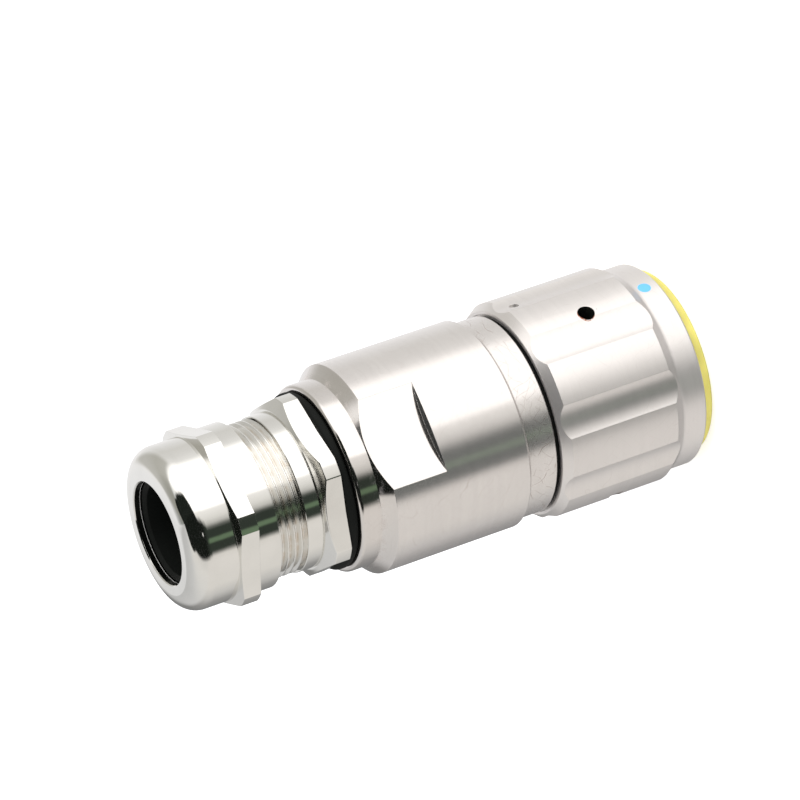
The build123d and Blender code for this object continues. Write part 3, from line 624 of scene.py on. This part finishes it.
def moulded(name, base, roughness, glow=0.0, sheen=0.5):
    """Plastic or rubber with a fine moulded grain."""
    material, recipe = new_material(name)
    place = recipe.place()
    skin = recipe.noise(place, SKIN_GRAIN, detail=3.0)
    cloud = recipe.noise(place, SMEAR_GRAIN)
    recipe.surface({
        "Base Color": recipe.blend(cloud.between(0.3, 0.7), base, shaded(base, SKIN_SHADE)),
        "Roughness": roughness + (cloud - 0.5) * SKIN_ROUGHNESS,
        "Normal": recipe.bump(skin, SKIN_DEPTH, MOULDED_EDGE),
        "Subsurface Weight": glow, "Subsurface Scale": 1 * MM, "Specular IOR Level": sheen,
    })
    return material


def dress(names, material):
    """Puts a material on CAD nodes, in their own slots."""
    for name in names:
        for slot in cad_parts[name].material_slots:
            slot.material = material


def deselect():
    if bpy.context.object and bpy.context.object.mode != "OBJECT":
        bpy.ops.object.mode_set(mode="OBJECT")
    bpy.ops.object.select_all(action="DESELECT")


def activate(*pieces):
    deselect()
    for piece in pieces:
        piece.select_set(True)
    bpy.context.view_layer.objects.active = pieces[0]


def settle(piece):
    """Merges doubles, turns all faces outwards and shades the piece smooth between sharp edges."""
    activate(piece)
    bpy.ops.object.transform_apply(location=True, rotation=True, scale=True)
    bpy.ops.object.mode_set(mode="EDIT")
    bpy.ops.mesh.select_all(action="SELECT")
    bpy.ops.mesh.remove_doubles(threshold=MERGE_DISTANCE)
    bpy.ops.mesh.normals_make_consistent(inside=False)
    bpy.ops.object.mode_set(mode="OBJECT")
    bpy.ops.object.shade_smooth_by_angle(angle=SHARP_ANGLE)


def draw_outline(outline, lift=0.0):
    """Draws a closed outline of (radius, height) points, lifted, and stays in edit mode."""
    deselect()
    bpy.ops.mesh.primitive_plane_add(size=MM)
    piece = bpy.context.object
    bpy.ops.object.mode_set(mode="EDIT")
    bpy.ops.mesh.merge(type="CENTER")
    bpy.ops.transform.translate(value=(outline[0][0], 0, lift + outline[0][1]))
    for start, end in zip(outline, outline[1:] + outline[:1]):
        step = (end[0] - start[0], 0, end[1] - start[1])
        bpy.ops.mesh.extrude_region_move(TRANSFORM_OT_translate={"value": step})
    bpy.ops.mesh.select_all(action="SELECT")
    bpy.ops.mesh.remove_doubles(threshold=MERGE_DISTANCE)
    return piece


def turned(name, outline):
    """Spins a closed outline of (radius, height) points about Z."""
    piece = draw_outline(outline)
    piece.name = name
    bpy.ops.mesh.spin(steps=TURN_STEPS, angle=2 * math.pi, center=(0, 0, 0), axis=(0, 0, 1))
    settle(piece)
    return piece


def apply_modifier(piece, kind, **settings):
    activate(piece)
    modifier = piece.modifiers.new(kind.title(), kind)
    for name, value in settings.items():
        setattr(modifier, name, value)
    bpy.ops.object.modifier_apply(modifier=modifier.name)


def cut(piece, tool, operation):
    """Cuts a piece with a tool, by a Boolean modifier, and removes the tool."""
    apply_modifier(piece, "BOOLEAN", operation=operation, object=tool, solver="EXACT")
    bpy.data.objects.remove(tool)


def hexagon_bar(across, angle, low, high):
    """A hexagonal bar round the axis, with a corner at the given angle."""
    deselect()
    corner_radius = across / 2 / math.cos(math.pi / 6)
    bpy.ops.mesh.primitive_cylinder_add(
        vertices=6, radius=corner_radius, depth=high - low,
        location=(0, 0, (low + high) / 2), rotation=(0, 0, angle + math.pi / 2),
    )
    bar = bpy.context.object
    bpy.ops.object.transform_apply(location=True, rotation=True, scale=True)
    return bar


def join(name, *pieces):
    activate(*pieces)
    bpy.ops.object.join()
    joined = bpy.context.object
    joined.name = name
    return joined


def thread_coil(sizes, low, high):
    """One ridge wound round the axis, trimmed square at both ends."""
    root = sizes.thread_radius - sizes.thread_depth
    half_crest = sizes.crest / 2
    half_root = half_crest + sizes.thread_depth * math.tan(THREAD_FLANK)
    start = low - sizes.pitch
    coil = draw_outline([
        (root - THREAD_SUNK, -half_root),
        (root, -half_root),
        (sizes.thread_radius, -half_crest),
        (sizes.thread_radius, half_crest),
        (root, half_root),
        (root - THREAD_SUNK, half_root),
    ], lift=start)
    bpy.ops.mesh.edge_face_add()
    bpy.ops.object.mode_set(mode="OBJECT")
    turns = math.ceil((high - start) / sizes.pitch) + 1
    apply_modifier(
        coil, "SCREW", axis="Z", angle=2 * math.pi, screw_offset=sizes.pitch,
        iterations=turns, steps=TURN_STEPS // 2, render_steps=TURN_STEPS // 2,
        use_merge_vertices=True, merge_threshold=MERGE_DISTANCE,
    )
    for height, keep_above in ((low, True), (high, False)):
        activate(coil)
        bpy.ops.object.mode_set(mode="EDIT")
        bpy.ops.mesh.select_all(action="SELECT")
        bpy.ops.mesh.bisect(
            plane_co=(0, 0, height), plane_no=(0, 0, 1), use_fill=True,
            clear_inner=keep_above, clear_outer=not keep_above,
        )
        bpy.ops.object.mode_set(mode="OBJECT")
    settle(coil)
    return coil


class PLUG_OT_gland_body(bpy.types.Operator):
    """Model the gland body with its hexagon and its thread"""

    bl_idname = "plug.gland_body"
    bl_label = "Gland body"

    def execute(self, context):
        sizes = context.scene.gland_sizes
        root = sizes.thread_radius - sizes.thread_depth
        hex_front = gasket_high.z
        cone_front = hex_front + sizes.hex_length
        cone_rise = sizes.hex_corner_radius - sizes.cone_radius
        hex_rear = cone_front + cone_rise * math.tan(sizes.cone_angle)
        band_rear = hex_rear + sizes.band_length
        seat_floor = gland_high.z - sizes.seat_depth
        hexagon = turned("hexagon", [
            (root, hex_front),
            (sizes.hex_corner_radius, hex_front),
            (sizes.hex_corner_radius, cone_front),
            (sizes.cone_radius, hex_rear),
            (root, hex_rear),
        ])
        bar = hexagon_bar(sizes.hex_across, sizes.hex_angle, hex_front - MM, hex_rear + MM)
        cut(hexagon, bar, "INTERSECT")
        apply_modifier(
            hexagon, "BEVEL", width=sizes.edge, segments=2, limit_method="ANGLE",
            angle_limit=BEVEL_ANGLE, harden_normals=False,
        )
        activate(hexagon)
        bpy.ops.object.shade_smooth_by_angle(angle=FACET_ANGLE)
        barrel = turned("barrel", [
            (sizes.bore_radius, gland_low.z),
            (root, gland_low.z),
            (root, hex_rear),
            (sizes.band_radius - sizes.edge, hex_rear),
            (sizes.band_radius, hex_rear + sizes.edge),
            (sizes.band_radius, band_rear - sizes.edge),
            (sizes.band_radius - sizes.edge, band_rear),
            (root, band_rear),
            (root, gland_high.z),
            (sizes.seat_radius, gland_high.z),
            (sizes.seat_radius, seat_floor),
            (sizes.bore_radius, seat_floor),
        ])
        rear_thread = thread_coil(sizes, band_rear + sizes.relief, gland_high.z - sizes.chamfer)
        front_thread = thread_coil(sizes, gland_low.z + sizes.chamfer, hex_front - sizes.relief)
        body = join("gland_body_threaded", barrel, hexagon, rear_thread, front_thread)
        body.data.materials.clear()
        body.data.materials.append(
            polished_metal("gland_nickel", FINISH.nickel, 0.09, thread_radius=sizes.thread_radius)
        )
        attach(body, "plug")
        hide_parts("gland_body")
        return {"FINISHED"}


class PLUG_OT_dome_nut(bpy.types.Operator):
    """Give the dome nut its mirror plating"""

    bl_idname = "plug.dome_nut"
    bl_label = "Dome nut"

    def execute(self, context):
        dress(["dome_nut"], polished_metal("nut_nickel", FINISH.nickel, 0.07, coats=nut_painted_highlight))
        return {"FINISHED"}


class PLUG_OT_coupling_ring(bpy.types.Operator):
    """Give the coupling ring its satin plating and its painted dot"""

    bl_idname = "plug.coupling_ring"
    bl_label = "Coupling ring"

    def execute(self, context):
        finish = satin_metal(
            "ring_nickel", FINISH.ring_satin, 0.34, 0.4, shine=0.84, mark_depth=0.005 * MM,
            scratch=0.12, coats=ring_coats_and_painted_shade)
        dress(["coupling_ring"], finish)
        dress(["entry_ring"], moulded("yellow_lining", FINISH.yellow, 0.4, glow=0.1))
        return {"FINISHED"}


class PLUG_OT_rear_housing(bpy.types.Operator):
    """Give the rear housing and its collar their turned plating"""

    bl_idname = "plug.rear_housing"
    bl_label = "Rear housing"

    def execute(self, context):
        housing = satin_metal(
            "housing_nickel", FINISH.satin, 0.22, 0.75, scratch=0.15,
            coats=housing_film_and_painted_shade, polish=milled_flats)
        collar = satin_metal("collar_nickel", FINISH.satin, 0.25, 0.7, scratch=0.8)
        dress(["rear_housing"], housing)
        dress(["shell_collar"], collar)
        return {"FINISHED"}


class PLUG_OT_inner_pieces(bpy.types.Operator):
    """Give the shell, the contacts, the seals and the plastic pieces their finishes"""

    bl_idname = "plug.inner_pieces"
    bl_label = "Inner pieces"

    def execute(self, context):
        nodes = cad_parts
        rubber = moulded("black_rubber", FINISH.rubber, 0.6, sheen=0.12)
        plastic = moulded("black_plastic", FINISH.plastic, 0.42)
        steel = polished_metal("spring_steel", FINISH.steel, 0.28)
        dress(["gland_gasket", "gland_seal", "interface_seal"], rubber)
        dress(["dust_seal", "housing_o_ring"], rubber)
        dress(["clamp_cage", "front_insulator", "rear_insulator"], plastic)
        dress(["wave_spring", "retaining_clip", "thrust_washer", "insert_retainer"], steel)
        dress(["stop_pin"], polished_metal("pin_steel", FINISH.pin, 0.18))
        dress(["plug_shell"], satin_metal("shell_bronze", FINISH.bronze, 0.25, 0.6, shine=1.0))
        power = [name for name in nodes if name.startswith(("power_contact", "earth_contact"))]
        signal = [name for name in nodes if name.startswith("signal_contact")]
        dress(power, polished_metal("contact_silver", FINISH.silver, 0.16))
        dress(signal, polished_metal("contact_gold", FINISH.gold, 0.14))
        return {"FINISHED"}


class PLUG_OT_stage(bpy.types.Operator):
    """Set the floor, the light and the camera"""

    bl_idname = "plug.stage"
    bl_label = "Stage"

    def execute(self, context):
        studio = context.scene.studio
        lay_floor(studio)
        light_world(studio)
        hang_lamp(studio)
        aim_camera(studio)
        context.scene.view_settings.view_transform = "Standard"
        return {"FINISHED"}


def ray_kind(recipe, kind):
    """1 for rays of one kind and 0 for others."""
    return recipe.add("LightPath", output=kind)


def lay_floor(studio):
    """A white floor under the plug. It shows the camera a little more light than falls on it."""
    deselect()
    bpy.ops.mesh.primitive_plane_add(size=studio.floor_size)
    floor = bpy.context.object
    floor.name = "floor"
    material, recipe = new_material("white_floor")
    glow = ray_kind(recipe, "Is Camera Ray") * studio.floor_glow
    matt = recipe.add("BsdfDiffuse", None, {"Color": FLOOR_WHITE})
    bright = recipe.add("Emission", None, {"Strength": glow})
    recipe.to_output("Material", recipe.add("AddShader", None, {0: matt, 1: bright}))
    floor.data.materials.append(material)
    floor.visible_glossy = False


def light_walls(recipe, heading, z):
    """The light walls, the ceiling and the table round the plug."""
    walls = recipe.ramp(heading, WALLS_BY_HEADING)
    walls = recipe.blend(recipe.ramp(z, ((0.70, 0.0), (0.97, 1.0))), walls, CEILING)
    far_side = heading.between(0.60, 0.66) * z.between(0.05, 0.3)
    walls = recipe.blend(far_side, walls, recipe.ramp(heading, FAR_WALLS_BY_HEADING))
    walls = recipe.blend(z.between(-0.6, -0.9), walls, TABLE)
    beside = heading.between(0.03, 0.07) * heading.between(0.26, 0.23) * z.between(-0.05, 0.25)
    return recipe.blend(beside * 0.6, walls, SIDE_WALL)


def dark_room(recipe, direction, heading, z):
    """Where the dark room beyond the walls shows, between ragged edges, and its colour."""
    rise = z * 0.5 + 0.5
    ragged = (recipe.noise(direction, 0.09, detail=3.0) - 0.5) * 0.02
    start = recipe.ramp(rise, DARK_START_BY_RISE)
    end = recipe.ramp(rise, DARK_END_BY_RISE)
    past_start = (heading + ragged - start).between(-0.004, 0.032)
    before_end = (heading + ragged * 0.4 - end).between(0.013, -0.013)
    green = abs(heading - GREEN_HEADING).between(0.014, 0.004) * z.between(-0.1, -0.3)
    dark = recipe.blend(z.between(-0.3, 0.1), DARK_LOW, DARK_HIGH)
    return past_start * before_end, recipe.blend(green, dark, GREEN_DOOR)


def light_world(studio):
    """Even white light, with walls, table, dark room and windows as glossy surfaces see them."""
    world = bpy.data.worlds.new("studio")
    bpy.context.scene.world = world
    world.use_nodes = True
    recipe = Recipe(world.node_tree)
    direction = recipe.add("TexCoord", output="Generated")
    x, y, z = recipe.split(direction)
    heading = (x.math("ARCTAN2", y) / (2 * math.pi)).math("FRACT")
    room, dark = dark_room(recipe, direction, heading, z)
    glossy_view = recipe.blend(room, light_walls(recipe, heading, z), dark)
    for place, width in WINDOWS:
        window = spot(recipe, direction, place, width, 0.6 * width)
        glossy_view = recipe.blend(window, glossy_view, KEY_LIGHT)
    camera = ray_kind(recipe, "Is Camera Ray")
    glossy = ray_kind(recipe, "Is Glossy Ray")
    shown = recipe.blend(glossy, EVEN_WHITE, glossy_view)
    shown = recipe.blend(camera, shown, (1, 1, 1))
    key = heading.between(0.24, 0.285) * heading.between(0.476, 0.46) * glossy
    strength = studio.world_strength + (camera + glossy) * (1 - studio.world_strength)
    inputs = {"Color": shown, "Strength": strength * (1 + KEY_GLOW * key)}
    recipe.to_output("World", recipe.add("Background", None, inputs))


def add_object(name, data):
    """A new object in the scene, round some data."""
    added = bpy.data.objects.new(name, data)
    bpy.context.scene.collection.objects.link(added)
    return added


def hang_lamp(studio):
    """A large soft lamp above and beside the plug, left out of the reflections."""
    data = bpy.data.lights.new("soft_lamp", "AREA")
    data.energy = studio.lamp_power
    data.size = studio.lamp_size
    lamp = add_object("soft_lamp", data)
    lamp.location = LAMP_PLACE
    lamp.rotation_euler = (LAMP_AIM - LAMP_PLACE).to_track_quat("-Z", "Y").to_euler()
    lamp.visible_glossy = False


def aim_camera(studio):
    """A long lens that looks at the target, rolled so that the plug lies tilted."""
    data = bpy.data.cameras.new("camera")
    data.lens = studio.focal_length
    data.clip_start = NEAREST_SEEN
    camera = add_object("camera", data)
    tilt = Matrix.Rotation(math.pi / 2 - studio.elevation, 4, "X")
    roll = Matrix.Rotation(studio.roll, 4, "Z")
    back = Matrix.Translation((0, 0, studio.distance))
    camera.matrix_world = Matrix.Translation(studio.target) @ tilt @ roll @ back
    bpy.context.scene.camera = camera


class PLUG_PT_panel(bpy.types.Panel):
    """The steps that dress the plug, in order"""

    bl_idname = "PLUG_PT_panel"
    bl_label = "Power Plug"
    bl_space_type = "VIEW_3D"
    bl_region_type = "UI"
    bl_category = "Power Plug"

    def draw(self, context):
        for operator in OPERATORS:
            self.layout.operator(operator.bl_idname)


OPERATORS = (
    PLUG_OT_gland_body,
    PLUG_OT_dome_nut,
    PLUG_OT_coupling_ring,
    PLUG_OT_rear_housing,
    PLUG_OT_inner_pieces,
    PLUG_OT_stage,
)
GROUPS = {"gland_sizes": GlandSizes, "finishes": Finishes, "studio": Studio}
FINISH = None


def register():
    for group in GROUPS.values():
        bpy.utils.register_class(group)
    for name, group in GROUPS.items():
        setattr(bpy.types.Scene, name, PointerProperty(type=group))
    for item in (*OPERATORS, PLUG_PT_panel):
        bpy.utils.register_class(item)


def unregister():
    for item in (PLUG_PT_panel, *reversed(OPERATORS)):
        bpy.utils.unregister_class(item)
    for name in GROUPS:
        delattr(bpy.types.Scene, name)
    for group in reversed(GROUPS.values()):
        bpy.utils.unregister_class(group)


def main():
    global FINISH
    register()
    FINISH = bpy.context.scene.finishes
    bpy.ops.plug.gland_body()
    bpy.ops.plug.dome_nut()
    bpy.ops.plug.coupling_ring()
    bpy.ops.plug.rear_housing()
    bpy.ops.plug.inner_pieces()
    bpy.ops.plug.stage()


if __name__ == "__main__":
    main()
